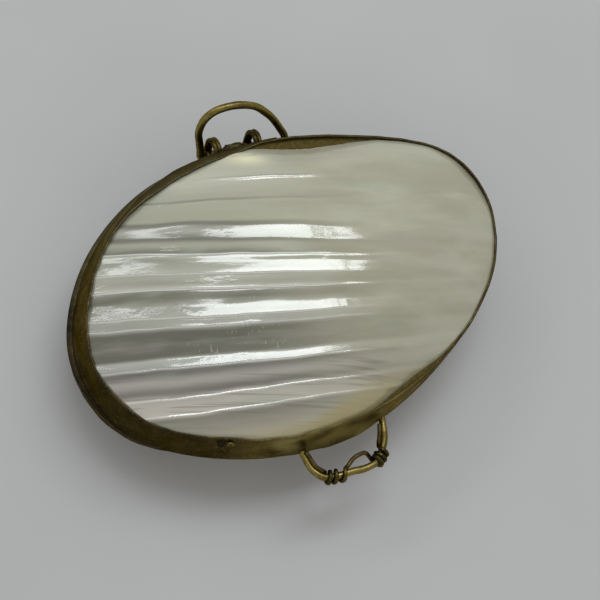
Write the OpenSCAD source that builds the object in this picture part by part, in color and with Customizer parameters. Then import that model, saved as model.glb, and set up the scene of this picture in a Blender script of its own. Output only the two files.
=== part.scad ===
// Pill box made of two mother-of-pearl shell valves, each set in a thin brass band.
// Millimetres. The origin is the centre of the ground flat that the box rests on.
// +X runs along the hinge, +Y points to the hinge at the back, +Z is up.

/* [Outline] */
// Length of the box along the hinge
box_length = 72.4; // [60:0.1:90]
// Depth of the box from front to hinge side
box_depth = 49.8; // [42:0.1:62]
// Length of the lower valve compared with the upper one
base_stretch = 1.01; // [1:0.001:1.012]
// Depth of the lower valve compared with the upper one
base_narrow = 0.985; // [0.98:0.001:1]

/* [Bands] */
// Height of each brass band
band_h = 5.4; // [4.5:0.1:7]
// Thickness of the brass sheet
sheet = 0.4; // [0.3:0.05:0.6]
// How far a band leans in from the seam to its free edge
band_lean = 1.4; // [0.8:0.1:1.8]
// How much less the lower band leans at the left end
left_upright = 0.8; // [0:0.1:1]
// How much less the upper band leans at the front right
right_upright = 1.1; // [0:0.1:1.2]
// Width of the flat ledge at the seam of the lower band
base_ledge = 3.05; // [2.9:0.05:3.3]
// Width of the flat ledge at the seam of the upper band
lid_ledge = 1.8; // [1.5:0.05:1.85]
// Height of the locating collar above the seam
collar_h = 1; // [0.6:0.1:1.4]

/* [Shells] */
// Rise of each valve above its own edge
dome_rise = 6.5; // [4:0.1:9]
// Thickness of the shell
shell_t = 1.5; // [1.2:0.1:2]
// Depth of the ground flat on the belly of the lower valve
ground_flat = 0.4; // [0.3:0.05:0.8]

/* [Hinge] */
// Radius of the wire that makes the pin and the bail
bail_r = 0.53; // [0.45:0.01:0.6]
// Radial play of the pin in the knuckles and eyes
pin_play = 0.06; // [0.02:0.01:0.1]
// Distance of the pin behind the outline
pin_back = 1.7; // [1.6:0.05:2.2]
// Distance of the pin below the seam
pin_drop = 4.6; // [4.2:0.1:5]
// Radius of the wire of the hinge eyes
eye_wire_r = 0.45; // [0.4:0.01:0.5]
// Wall of the hinge knuckles
knuckle_wall = 0.4; // [0.3:0.05:0.5]
// Lean of the bail, back from upright
bail_lean = 22; // [10:1:35]

/* [Thumb loop] */
// Radius of the thumb loop's wire
loop_r = 0.55; // [0.45:0.01:0.6]
// Radius of the thin binding wire
bind_r = 0.3; // [0.2:0.01:0.35]
// Height of the thumb loop above the seam
loop_up = 0.9; // [0.8:0.1:1.5]

/* [Hidden] */

brass = [0.42, 0.35, 0.16];
brass_bright = [0.55, 0.47, 0.24];
pearl = [0.80, 0.79, 0.73];
cement = [0.42, 0.26, 0.18];

// Outline of the seam, as fractions of half the length and half the depth
OUTLINE = [
    [0.99, 0.24], [0.84, 0.68], [0.42, 0.92], [-0.05, 1.00], [-0.51, 0.86], [-0.86, 0.44],
    [-1.01, -0.14], [-0.85, -0.68], [-0.39, -0.98], [0.11, -0.97], [0.58, -0.65], [0.895, -0.215]
];
SPAN_STEPS = 8;
STATIONS = len(OUTLINE) * SPAN_STEPS;
DOME_RINGS = 11;
DOME_POWER = 2.2;
WIRE_SIDES = 10;

half_x = box_length / 2;
half_y = box_depth / 2;
edge_w = band_h - 0.3;              // top of the shell's rim, above the seam
seat_w = edge_w - shell_t;          // underside of the shell's rim, on the cement
seam_gap = 0.08;                    // half the gap between the closed bands
fit_gap = 0.1;                      // gap between a shell and its band
bed_gap = 0.03;                     // gap round the cement
rim_in = sheet + fit_gap;           // how far the shell's rim is inside the band's face
seam_z = edge_w + dome_rise - ground_flat;
crown = [2, 0.5];                   // where each valve is highest
pin_y = half_y + pin_back;
pin_z = seam_z - pin_drop;
bore_r = bail_r + pin_play;
eye_ring_r = bore_r + eye_wire_r;
loop_z = seam_z + loop_up;

// ---- curves ----

function spline(a, b, c, d, t) =
    0.5 * (2 * b + (c - a) * t + (2 * a - 5 * b + 4 * c - d) * t * t + (3 * b - a - 3 * c + d) * t * t * t);

function spline_slope(a, b, c, d, t) =
    0.5 * ((c - a) + 2 * (2 * a - 5 * b + 4 * c - d) * t + 3 * (3 * b - a - 3 * c + d) * t * t);

// A point on the closed curve through p, t counted in spans
function on_loop(p, t) =
    let (n = len(p), i = floor(t), f = t - i)
    spline(p[(i + n - 1) % n], p[i % n], p[(i + 1) % n], p[(i + 2) % n], f);

function loop_slope(p, t) =
    let (n = len(p), i = floor(t), f = t - i)
    spline_slope(p[(i + n - 1) % n], p[i % n], p[(i + 1) % n], p[(i + 2) % n], f);

// A point on the open curve through p, t counted in spans
function on_path(p, t) =
    let (n = len(p), i = min(floor(t), n - 2), f = t - i, a = p[max(i - 1, 0)], d = p[min(i + 2, n - 1)])
    spline(a, p[i], p[i + 1], d, f);

function unit(v) = v / norm(v);

// Each station of an outline: x, y, and the outward normal
function stations(p) = [
    for (k = [0 : STATIONS - 1])
        let (t = k / SPAN_STEPS, s = unit(loop_slope(p, t)), q = on_loop(p, t))
        [q.x, q.y, s.y, -s.x]
];

LID = stations([for (p = OUTLINE) [p.x * half_x, p.y * half_y]]);
BASE = stations([
    for (p = OUTLINE)
        [half_x + (p.x - 1) * half_x * base_stretch, half_y + (p.y - 1) * half_y * base_narrow]
]);
FRONT_RIGHT = [0.62, -0.78];
LID_LEAN = [
    for (s = LID) band_lean - right_upright * pow(max(0, [s[2], s[3]] * FRONT_RIGHT), 12)
];
BASE_LEAN = [for (s = BASE) band_lean + left_upright * min(0, s[2])];

// One ring round an outline at height w above the seam, moved out by u from the band's face
function ring(st, lean, u, w, wave = 0) = [
    for (k = [0 : STATIONS - 1])
        let (
            a = k * 360 / STATIONS,
            h = w + wave * (0.25 * sin(3 * a + 40) + 0.15 * sin(7 * a)),
            o = u - lean[k] * h / band_h,
            s = st[k]
        )
        [s[0] + s[2] * o, s[1] + s[3] * o, h]
];

// One ring of a dome: a smaller copy of its edge, raised
function dome_ring(edge, f, rise) = [
    for (p = edge)
        [crown.x + (p.x - crown.x) * f, crown.y + (p.y - crown.y) * f, p.z + rise * (1 - pow(f, DOME_POWER))]
];

// ---- skins ----

function strip_faces(n, j0, j1) = [
    for (i = [0 : n - 1], f = [0, 1])
        let (a = j0 + i, b = j0 + (i + 1) % n, c = j1 + (i + 1) % n, d = j1 + i)
        f == 0 ? [a, d, c] : [a, c, b]
];

// A closed ring-shaped solid: rings are joined in order, and the last to the first
module hoop(rings) {
    n = len(rings[0]);
    m = len(rings);
    polyhedron(
        points = [for (r = rings, p = r) p],
        faces = [for (j = [0 : m - 1], f = strip_faces(n, j * n, ((j + 1) % m) * n)) f]
    );
}

// A closed solid like a bowl: rings from the start point outwards and back to the end point
module bowl(first, rings, last) {
    n = len(rings[0]);
    m = len(rings);
    polyhedron(
        points = concat([for (r = rings, p = r) p], [first, last]),
        faces = concat(
            [for (j = [0 : m - 2], f = strip_faces(n, j * n, (j + 1) * n)) f],
            [for (i = [0 : n - 1]) [m * n, i, (i + 1) % n]],
            [for (i = [0 : n - 1]) [m * n + 1, (m - 1) * n + (i + 1) % n, (m - 1) * n + i]]
        )
    );
}

// A wire along a path; side[k] is a direction across the path at point k
module wire(path, side, r, sides = WIRE_SIDES) {
    last = len(path) - 1;
    rings = [
        for (k = [0 : last])
            let (
                t = unit(path[min(k + 1, last)] - path[max(k - 1, 0)]),
                u = unit(side[k] - t * (side[k] * t)),
                v = cross(t, u)
            )
            [for (i = [0 : sides - 1]) let (a = i * 360 / sides) path[k] + r * (cos(a) * u + sin(a) * v)]
    ];
    polyhedron(
        points = [for (q = rings, p = q) p],
        faces = concat(
            [for (j = [0 : last - 1], f = strip_faces(sides, j * sides, (j + 1) * sides)) f],
            [[for (i = [0 : sides - 1]) i]],
            [[for (i = [sides - 1 : -1 : 0]) last * sides + i]]
        )
    );
}

// ---- valves ----

// Brass band in section: the leaning wall and the flat ledge at the seam
module band(st, lean, ledge) {
    hoop([
        ring(st, lean, 0, seam_gap),
        ring(st, lean, 0, band_h, 1),
        ring(st, lean, -sheet, band_h, 1),
        ring(st, lean, -sheet, seam_gap + sheet),
        ring(st, lean, -ledge, seam_gap + sheet),
        ring(st, lean, -ledge, seam_gap)
    ]);
}

// Bed of cement under the shell's rim, clear of the locating collar
module cement_bed(st, lean, ledge) {
    low = seam_gap + sheet + bed_gap;
    high = seat_w - bed_gap;
    set_back = 0.3;
    hoop([
        ring(st, lean, -sheet - bed_gap, low),
        ring(st, lean, -sheet - bed_gap, high),
        ring(st, lean, -rim_in - shell_t, high),
        ring(st, lean, -ledge + set_back, collar_h + set_back),
        ring(st, lean, -ledge + set_back, low)
    ]);
}

// Shell valve: inner dome, rim seated on the cement, outer dome
module valve(st, lean) {
    inner = ring(st, lean, -rim_in - shell_t, seat_w);
    outer = ring(st, lean, -rim_in, edge_w);
    inner_rise = edge_w + dome_rise - shell_t - seat_w;
    steps = [for (k = [1 : DOME_RINGS]) sin(90 * k / (DOME_RINGS + 1))];
    bowl(
        [crown.x, crown.y, seat_w + inner_rise],
        concat(
            [for (f = steps) dome_ring(inner, f, inner_rise)],
            [inner, ring(st, lean, -rim_in, seat_w), outer],
            [for (k = [DOME_RINGS - 1 : -1 : 0]) dome_ring(outer, steps[k], dome_rise)]
        ),
        [crown.x, crown.y, edge_w + dome_rise]
    );
}

module upper() {
    translate([0, 0, seam_z]) children();
}

module lower() {
    translate([0, 0, seam_z]) mirror([0, 0, 1]) children();
}

module lid_shell() {
    color(pearl) upper() valve(LID, LID_LEAN);
}

module lid_band() {
    color(brass) upper() band(LID, LID_LEAN, lid_ledge);
}

module lid_cement() {
    color(cement) upper() cement_bed(LID, LID_LEAN, lid_ledge);
}

module base_shell() {
    color(pearl) difference() {
        lower() valve(BASE, BASE_LEAN);
        translate([-half_x, -half_y, -2]) cube([box_length, box_depth, 2]);
    }
}

module base_band() {
    color(brass) lower() band(BASE, BASE_LEAN, base_ledge);
}

module base_cement() {
    color(cement) lower() cement_bed(BASE, BASE_LEAN, base_ledge);
}

// Thin strip soldered inside the ledge of the base; it stands up inside the lid
module base_collar() {
    foot = -seam_gap - sheet;
    collar_t = 0.3;
    upright = [for (s = BASE) 0];
    color(brass_bright) upper() hoop([
        ring(BASE, upright, -base_ledge, foot),
        ring(BASE, upright, -base_ledge, collar_h),
        ring(BASE, upright, -base_ledge - collar_t, collar_h),
        ring(BASE, upright, -base_ledge - collar_t, foot)
    ]);
}

// Small pin through the band into the shell
module lid_pin() {
    pin_spot = LID[61];
    pin_up = 4.3;
    face = -band_lean * pin_up / band_h;
    turn = atan2(pin_spot[3], pin_spot[2]);
    color(brass_bright)
        translate([pin_spot[0] + pin_spot[2] * face, pin_spot[1] + pin_spot[3] * face, seam_z + pin_up])
            rotate([0, 0, turn])
                rotate([0, 90 - 15, 0]) {
                    translate([0, 0, -1.3]) cylinder(h = 1.35, r = 0.25, $fn = 24);
                    translate([0, 0, -0.02]) cylinder(h = 0.17, r = 0.45, $fn = 24);
                }
}

// ---- hinge ----

// The eyes, the knuckles and the bail's two legs stand side by side along the pin
eye_left_x = -5.5;
eye_right_x = 1.4;
eye_pair = eye_wire_r + 0.01;       // half the distance between the two strands of an eye
knuckles = [[-4.4, 0.3], [2.5, 6.5]];
leg_left = -7.3;
leg_right = 7.8;

module along_pin(x) {
    translate([x, pin_y, pin_z]) rotate([0, 90, 0]) children();
}

module hinge_barrel() {
    color(brass_bright) for (k = knuckles)
        along_pin(k[0]) difference() {
            cylinder(h = k[1] - k[0], r = bore_r + knuckle_wall, $fn = 48);
            translate([0, 0, -1]) cylinder(h = k[1] - k[0] + 2, r = bore_r, $fn = 48);
        }
}

// Pads between the knuckles and the base band
module hinge_saddle() {
    inset = 0.3;
    depth = pin_back + band_lean * pin_drop / band_h + sheet / 2;
    color(brass) for (k = knuckles) difference() {
        translate([k[0] + inset, pin_y - depth, pin_z - 0.6]) cube([k[1] - k[0] - 2 * inset, depth, 1.2]);
        along_pin(k[0] - 1) cylinder(h = k[1] - k[0] + 2, r = bore_r + knuckle_wall - 0.1, $fn = 48);
    }
}

// Hairpin of wire hooked round the pin; its two ends are soldered to the lid band
EYE_LEG = [
    [eye_ring_r, 0.15], [eye_ring_r + 0.15, 1.6], [1.3, 3.2], [0.8, 4.7], [-0.3, 5.7], [-1.4, 5.9],
    [-2.2, 5.9]
];
EYE_LEG_STEPS = 3;

module eye(x) {
    leg = [
        for (k = [0 : (len(EYE_LEG) - 1) * EYE_LEG_STEPS])
            let (q = on_path(EYE_LEG, k / EYE_LEG_STEPS))
            [0, q.x, q.y]
    ];
    for (s = [-1, 1]) translate([x + s * eye_pair, pin_y, pin_z]) {
        rotate([0, 90, 0]) rotate_extrude($fn = 48)
            translate([eye_ring_r, 0]) circle(r = eye_wire_r, $fn = 24);
        wire(leg, [for (p = leg) [1, 0, 0]], eye_wire_r * 0.99);
    }
}

module hinge_eye_left() {
    color(brass_bright) eye(eye_left_x);
}

module hinge_eye_right() {
    color(brass_bright) eye(eye_right_x);
}

// ---- bail ----

// Centre line of the arch in its own plane: along the pin, and out from the pin
ARCH = [
    [leg_left + 0.75, 0], [leg_left + 0.1, 0.55], [leg_left, 2.2], [-7.7, 4.3], [-7.7, 6.4], [-6.9, 8.6],
    [-5.1, 10.2], [-2.7, 10.9], [-0.3, 10.7], [2.1, 9.6], [4.1, 7.6], [5.7, 5.3], [7, 3],
    [leg_right - 0.05, 1.2], [leg_right - 0.2, 0.3], [leg_right - 0.9, 0]
];
ARCH_STEPS = 3;

module bail_wire() {
    arch = [
        for (k = [0 : (len(ARCH) - 1) * ARCH_STEPS])
            let (q = on_path(ARCH, k / ARCH_STEPS))
            [q.x, q.y * sin(bail_lean), q.y * cos(bail_lean)]
    ];
    across = [0, cos(bail_lean), -sin(bail_lean)];
    color(brass_bright) union() {
        along_pin(leg_left + 0.5) cylinder(h = leg_right - leg_left - 1.1, r = bail_r, $fn = 48);
        translate([0, pin_y, pin_z]) wire(arch, [for (p = arch) across], bail_r + 0.05, 12);
    }
}

// ---- thumb loop ----

// Centre line of the stirrup, seen from above
STIRRUP = [
    [-7.8, -24.7], [-7.6, -26.4], [-7, -28.6], [-5.6, -30.1], [-3.2, -30.5], [-0.9, -30.4], [1.4, -30.5],
    [3.6, -30.1], [4.9, -28.4], [5.5, -26.4], [5.9, -23.2]
];
STIRRUP_STEPS = 3;

function stirrup(t) = let (q = on_path(STIRRUP, t)) [q.x, q.y, loop_z];

module thumb_loop() {
    path = [for (k = [0 : (len(STIRRUP) - 1) * STIRRUP_STEPS]) stirrup(k / STIRRUP_STEPS)];
    color(brass) wire(path, [for (p = path) [0, 0, 1]], loop_r);
}

// The thin wire lies along the legs, winds twice at each corner and once over the crossbar
WINDS = [[0.55, 120], [2.2, 120], [4, 840], [6.2, 1080], [7.8, 1800], [9.45, 1800]];

function wind_angle(t, k = 0) =
    k >= len(WINDS) - 2 || t < WINDS[k + 1][0]
        ? WINDS[k][1] + (WINDS[k + 1][1] - WINDS[k][1]) * (t - WINDS[k][0]) / (WINDS[k + 1][0] - WINDS[k][0])
        : wind_angle(t, k + 1);

module binding_wire() {
    first = WINDS[0][0];
    last = WINDS[len(WINDS) - 1][0];
    reach = loop_r + bind_r + 0.03;
    count = floor((last - first) * 12);
    turns = [
        for (k = [0 : count])
            let (
                t = first + (last - first) * k / count,
                along = unit(stirrup(min(t + 0.05, 10)) - stirrup(t - 0.05)),
                out = cross(along, [0, 0, 1]),
                a = wind_angle(t)
            )
            cos(a) * out + sin(a) * [0, 0, 1]
    ];
    path = [for (k = [0 : count]) stirrup(first + (last - first) * k / count) + reach * turns[k]];
    color(brass_bright) wire(path, turns, bind_r, 6);
}

base_shell();
base_band();
base_cement();
base_collar();
hinge_barrel();
hinge_saddle();
lid_shell();
lid_band();
lid_cement();
lid_pin();
hinge_eye_left();
hinge_eye_right();
thumb_loop();
binding_wire();
bail_wire();
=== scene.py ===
"""Looks of the pill box: two mother-of-pearl valves in brass bands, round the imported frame.

Lengths are millimetres on the frame's axes, and add_mesh turns them into metres.
"""
import math

import bpy
import numpy as np
from mathutils import Matrix, Vector, noise


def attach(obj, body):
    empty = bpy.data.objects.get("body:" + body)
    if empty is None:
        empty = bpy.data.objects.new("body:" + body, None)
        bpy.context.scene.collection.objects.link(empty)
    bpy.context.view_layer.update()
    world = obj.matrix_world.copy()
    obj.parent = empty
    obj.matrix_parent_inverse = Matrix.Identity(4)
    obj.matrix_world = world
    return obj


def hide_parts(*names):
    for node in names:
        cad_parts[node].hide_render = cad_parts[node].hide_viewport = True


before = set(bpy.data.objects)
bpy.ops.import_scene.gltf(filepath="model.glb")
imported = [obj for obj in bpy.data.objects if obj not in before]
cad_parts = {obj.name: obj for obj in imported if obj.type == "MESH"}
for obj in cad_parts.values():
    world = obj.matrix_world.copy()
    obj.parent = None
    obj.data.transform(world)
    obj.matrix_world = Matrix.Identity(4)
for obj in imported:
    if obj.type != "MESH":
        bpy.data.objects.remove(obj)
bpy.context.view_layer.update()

MM = 0.001

# ---- sizes that the frame was built with, and a few of the looks ----

# Half the lid's length and depth, and its outline in shares of them, anticlockwise from the right
HALF_X, HALF_Y = 36.2, 24.9
OUTLINE = [
    (0.99, 0.24), (0.84, 0.68), (0.42, 0.92), (-0.05, 1.00), (-0.51, 0.86), (-0.86, 0.44),
    (-1.01, -0.14), (-0.85, -0.68), (-0.39, -0.98), (0.11, -0.97), (0.58, -0.65), (0.895, -0.215),
]
# The base's outline against the lid's
BASE_STRETCH, BASE_NARROW = 1.01, 0.985
# A band's height, how far its free edge leans in, and how much less it leans at the left and front right
BAND_H, BAND_LEAN = 5.4, 1.4
LEFT_UPRIGHT, RIGHT_UPRIGHT = 0.8, 1.1
FRONT_RIGHT = (0.62, -0.78)
# Height of the seam between the valves
SEAM_Z = 11.2
# A shell's dome over its edge, the edge's height above the seam, and the shell's thickness and crown
DOME_RISE, DOME_POWER = 6.5, 2.2
EDGE_W = 5.1
SHELL_T = 1.5
CROWN = np.array([2.0, 0.5])
# Widths of the ledges at the seam
LID_LEDGE, BASE_LEDGE = 1.8, 3.05
# The hinge pin's place, and radii of the wires and of the rings round the pin
PIN_Y, PIN_Z = 26.6, 6.6
BAIL_R = 0.53
EYE_WIRE_R = 0.42
EYE_RING_R = 1.04
LOOP_R = 0.55
BIND_R = 0.33
# Height of the thumb loop
LOOP_Z = 12.1
# How far forward the thumb loop's and the binding wire's centre lines may come
LOOP_FRONT, BIND_FRONT = -30.6, -31.28
# Share of the way round the outline at which the pin goes through the band
PIN_STATION = 0.6385
# Stations round a piece, and rings from a shell's rim to its crown
BAND_STATIONS = 576
LID_STATIONS, LID_RINGS = 576, 120
BASE_STATIONS, BASE_RINGS = 384, 72
INNER_RINGS = 14

# ---- small helpers ----


def smooth(x, a, b):
    """0 at a, 1 at b, with an even slope at both ends."""
    t = np.clip((np.asarray(x, float) - a) / (b - a), 0, 1)
    return t * t * (3 - 2 * t)


def bump_at(x, centre, half):
    """A smooth bump, 1 at centre and 0 from half away."""
    return 1 - smooth(np.abs(np.asarray(x, float) - centre), 0, half)


def wobble(points, scale, seed):
    """Smooth noise, about -0.7 to 0.7, at each point; scale is the size of its features on each axis."""
    q = np.asarray(points, float) / np.asarray(scale, float)
    return np.array([noise.noise(Vector((a, b, c + 17.3 * seed))) for a, b, c in q])


def around(k, count, centre, half):
    """A smooth bump over the stations of an outline, where centre and half are shares of a whole turn."""
    d = (k / count - centre + 0.5) % 1 - 0.5
    return 1 - smooth(np.abs(d), 0, half)


def spline(a, b, c, d, t):
    """A place between b and c, at the share t, on the smooth curve through four points."""
    return 0.5 * (2 * b + (c - a) * t + (2 * a - 5 * b + 4 * c - d) * t**2 + (3 * b - a - 3 * c + d) * t**3)


def outline(points, count):
    """Stations of the closed smooth curve through the points: places and outward normals."""
    p = np.array(points, float)
    t = np.arange(count) * len(p) / count
    i = t.astype(int)
    f = (t - i)[:, None]
    at = [p[(i + k) % len(p)] for k in (-1, 0, 1, 2)]
    place = spline(*at, f)
    ahead = spline(*at, f + 1e-3) - spline(*at, f - 1e-3)
    ahead /= np.linalg.norm(ahead, axis=1)[:, None]
    return place, np.stack([ahead[:, 1], -ahead[:, 0]], 1)


def smooth_path(points, steps):
    """Points of the open smooth curve through the given ones."""
    p = np.array(points, float)
    ends = np.vstack([2 * p[0] - p[1], p, 2 * p[-1] - p[-2]])
    out = [spline(*ends[i : i + 4], k / steps) for i in range(len(p) - 1) for k in range(steps)]
    return np.array(out + [p[-1]])


def add_mesh(name, verts, faces, material, body, slot, replaces=()):
    """A piece from points in millimetres, smooth-shaded, riding on a body."""
    mesh = bpy.data.meshes.new(name)
    mesh.from_pydata((np.asarray(verts) * MM).tolist(), [], [list(map(int, f)) for f in faces])
    mesh.validate()
    mesh.polygons.foreach_set("use_smooth", [True] * len(mesh.polygons))
    mesh.materials.append(material)
    piece = bpy.data.objects.new(name, mesh)
    bpy.context.scene.collection.objects.link(piece)
    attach(piece, body)
    if replaces:
        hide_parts(*replaces)
    return piece


def mark(piece, name, values):
    """A number for each point of a piece, for its material to read."""
    made = piece.data.attributes.new(name, "FLOAT", "POINT")
    made.data.foreach_set("value", np.asarray(values, np.float32))


def strip(n, j0, j1):
    """Quads between two rings of n points that start at j0 and j1."""
    return [(j0 + i, j0 + (i + 1) % n, j1 + (i + 1) % n, j1 + i) for i in range(n)]


def hoop_faces(n, m):
    """Quads round a closed hoop of m rings of n points."""
    return [f for j in range(m) for f in strip(n, j * n, ((j + 1) % m) * n)]


def ball_faces(n, m):
    """Faces of m rings of n points between a first point and a last one."""
    faces = [(0, 1 + i, 1 + (i + 1) % n) for i in range(n)]
    for j in range(m - 1):
        faces += [q[::-1] for q in strip(n, 1 + j * n, 1 + (j + 1) * n)]
    last = 1 + (m - 1) * n
    return faces + [(last + n, last + (i + 1) % n, last + i) for i in range(n)]


def sweep(path, radius, sides):
    """A tube along a path with rounded ends: points and faces. radius is a number or one for each point."""
    path = np.asarray(path, float)
    count = len(path)
    r = np.broadcast_to(np.asarray(radius, float), (count,))
    ahead = np.gradient(path, axis=0)
    ahead /= np.linalg.norm(ahead, axis=1)[:, None]
    side = np.cross(ahead[0], (0.3, 0.5, 0.81))
    side /= np.linalg.norm(side)
    angle = np.arange(sides) * 2 * np.pi / sides
    circles = []
    for k in range(count):
        side = side - ahead[k] * (side @ ahead[k])
        side /= np.linalg.norm(side)
        up = np.cross(ahead[k], side)
        circles.append(np.cos(angle)[:, None] * side + np.sin(angle)[:, None] * up)
    caps = [(0.5, 0.35), (0.4, 0.75)]
    rings = [path[0] - ahead[0] * r[0] * out + circles[0] * r[0] * wide for out, wide in caps]
    rings += [path[k] + circles[k] * r[k] for k in range(count)]
    rings += [path[-1] + ahead[-1] * r[-1] * out + circles[-1] * r[-1] * wide for out, wide in caps[::-1]]
    m = len(rings)
    faces = [f for j in range(m - 1) for f in strip(sides, j * sides, (j + 1) * sides)]
    faces.append(list(range(sides))[::-1])
    faces.append([(m - 1) * sides + i for i in range(sides)])
    return np.concatenate(rings), faces


def join(parts):
    """Several (points, faces) as one."""
    verts, faces, start = [], [], 0
    for v, f in parts:
        verts.append(np.asarray(v))
        faces += [[i + start for i in q] for q in f]
        start += len(v)
    return np.concatenate(verts), faces


# ---- outlines of the two valves ----


class Valve:
    """Rings of one valve. w is the height above the seam, u the distance out from the band's face."""

    def __init__(self, lid, count):
        grow = (1, 1) if lid else (BASE_STRETCH, BASE_NARROW)
        half = np.array([HALF_X, HALF_Y])
        points = half + (np.array(OUTLINE) - 1) * half * grow
        self.lid = lid
        self.count = count
        self.place, self.normal = outline(points, count)
        if lid:
            facing = np.maximum(0, self.normal @ np.array(FRONT_RIGHT))
            self.lean = BAND_LEAN - RIGHT_UPRIGHT * facing**12
        else:
            self.lean = BAND_LEAN + LEFT_UPRIGHT * np.minimum(0, self.normal[:, 0])
        self.turn = np.arange(count) / count

    def ring(self, u, w):
        """Points all the way round, at u and w; each is a number or one for each station."""
        u = np.broadcast_to(np.asarray(u, float), (self.count,))
        w = np.broadcast_to(np.asarray(w, float), (self.count,))
        out = u - self.lean * w / BAND_H
        return np.column_stack([self.place + self.normal * out[:, None], w])

    def wave(self):
        """How much the free edge of the band wanders up and down."""
        a = self.turn * 2 * np.pi
        return 0.25 * np.sin(3 * a + 0.7) + 0.15 * np.sin(7 * a)

    def to_frame(self, points):
        """From heights above the seam to heights above the table: the base hangs down from the seam."""
        p = np.array(points, float)
        p[:, 2] = SEAM_Z + p[:, 2] * (1 if self.lid else -1)
        return p


# ---- mother-of-pearl ----

# Slope of the shell across its ribs, from each place on, going towards the back; 0 is the plain dome
RIB_SLOPES = [
    (-26, 0.00), (-20.0, 0.24), (-19.5, -0.22), (-18.9, 0.02), (-17.8, 0.26), (-17.4, -0.26),
    (-16.7, 0.30), (-16.2, -0.05), (-14.4, 0.30), (-13.95, -0.36), (-12.4, 0.16), (-12.0, 0.06),
    (-9.0, 0.14), (-8.6, -0.15), (-8.1, 0.02), (-7.4, -0.22), (-7.0, -0.15), (-5.6, 0.05),
    (-4.8, 0.20), (-3.75, -0.14), (-3.3, 0.19), (-1.75, 0.22), (-1.45, -0.01), (0.55, 0.17),
    (1.15, 0.02), (1.5, -0.24), (2.0, -0.07), (3.9, -0.18), (4.3, 0.13), (6.6, -0.34),
    (7.25, -0.02), (11.2, 0.14), (11.6, -0.14), (12.0, 0.0), (15.5, 0.62), (15.95, -0.50), (16.5, 0.0),
]
# Reach of the section to both sides, its step, and how soft the bends between the slopes are
RIB_REACH = 26.0
RIB_STEP = 0.05
RIB_SOFT = 0.13
# How far the whole outer surface sits below the plain dome, so that its ribs stay inside it
RELIEF_DROP = 0.17


def rib_section():
    """Heights of the shell's surface across the ribs, worked out from the slopes."""
    c = np.arange(-RIB_REACH, RIB_REACH, RIB_STEP)
    starts = np.array([s[0] for s in RIB_SLOPES])
    slopes = np.array([s[1] for s in RIB_SLOPES])
    slope = slopes[np.clip(np.searchsorted(starts, c, side="right") - 1, 0, None)]
    reach = np.arange(-20, 21) * RIB_STEP
    soft = np.exp(-0.5 * (reach / RIB_SOFT) ** 2)
    slope = np.convolve(slope, soft / soft.sum(), mode="same")
    height = np.cumsum(slope) * RIB_STEP
    wide = np.exp(-0.5 * (np.arange(-160, 161) * RIB_STEP / 3.0) ** 2)
    height -= np.convolve(height, wide / wide.sum(), mode="same")
    return c, height


def rib_place(x, y):
    """Which rib runs through a place: the ribs fan out to the left from beyond the right end."""
    across = y + 0.231 * x - 0.002 * x * x
    fan = 0.0075 * (1 - 1.25 * smooth(across, 1, 14))
    return across / (1 - fan * np.minimum(x, 40))


def cream_lump(x, y):
    """The swelling at the back edge, left of the middle."""
    along = 0.95 * (x + 3.0) - 0.31 * (y - 20.6)
    across = 0.31 * (x + 3.0) + 0.95 * (y - 20.6)
    return np.exp(-((along / 2.9) ** 2) - (across / 1.35) ** 2)


def lid_sag(x, c):
    """The long hollow of the lid's shell behind the middle; c is the rib."""
    along = smooth(x, -5, 14) * (1 - smooth(x, 15, 31))
    return -0.9 * along * smooth(c, 1.6, 4.2) * (1 - smooth(c, 9, 17))


def shell_relief(x, y, side):
    """Height over the plain dome and rib at each place; side is 0 on the lid and 1 on the base."""
    flat = np.column_stack([x, y, np.zeros(len(x))])
    c = rib_place(x, y)
    c = c + 0.30 * wobble(flat, (10, 6, 1), 1 + side) + 0.09 * wobble(flat, (3.8, 2.6, 1), 3 + side)
    fade = 1 - smooth(x + 0.15 * y + 2.5 * wobble(flat, (9, 3.2, 1), 5), 4, 15)
    strength = 1 + 0.22 * wobble(flat, (9, 2.3, 1), 7 + side)
    strength = strength * (1 - 0.9 * smooth(c, 13, 14.5) * (1 - smooth(x, -16, -5)))
    ribs = np.interp(c, *rib_section()) * fade * strength
    along = np.column_stack([x, c, np.zeros(len(x))])
    fine = 0.008 * wobble(along, (10, 0.6, 1), 9 + side)
    soft = 0.05 * wobble(flat, (13, 9, 1), 11 + side)
    umbo = 0.04 * wobble(along, (16, 1.6, 1), 13 + side) * smooth(x, 8, 20)
    relief = ribs + fine + soft + umbo - RELIEF_DROP
    if side == 0:
        relief = relief + lid_sag(x, c) + 0.4 * cream_lump(x, y)
    return relief, c


# Where the edge of the lid's shell is set in or drops: how far, share of the way round, half width
EDGE_INSETS = [
    (0.5, 0.16, 0.05), (2.15, 0.207, 0.066), (0.75, 0.29, 0.045), (0.6, 0.34, 0.06), (-0.25, 0.41, 0.03),
    (0.45, 0.552, 0.05), (1.25, 0.782, 0.045),
]
EDGE_DROPS = [(0.3, 0.21, 0.06), (0.15, 0.275, 0.06), (0.35, 0.79, 0.05)]


def lid_edge(valve):
    """How far the shell's edge is set in, and how far it drops, at each station."""
    k, n = np.arange(valve.count), valve.count
    rough = wobble(valve.ring(0, 0), (3.1, 3.1, 1), 21)
    inward = 0.10 * rough + sum(depth * around(k, n, place, half) for depth, place, half in EDGE_INSETS)
    drop = 0.05 * rough + sum(depth * around(k, n, place, half) for depth, place, half in EDGE_DROPS)
    return inward, drop


def dome_rows(edge, shares, top):
    """Rings of a plain dome over an edge, each at a share of the way out from the crown."""
    rows = []
    for f in shares:
        xy = CROWN + (edge[:, :2] - CROWN) * f
        z = edge[:, 2] + (top - edge[:, 2]) * (1 - f**DOME_POWER)
        rows.append(np.column_stack([xy, z]))
    return np.concatenate(rows)


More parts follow.
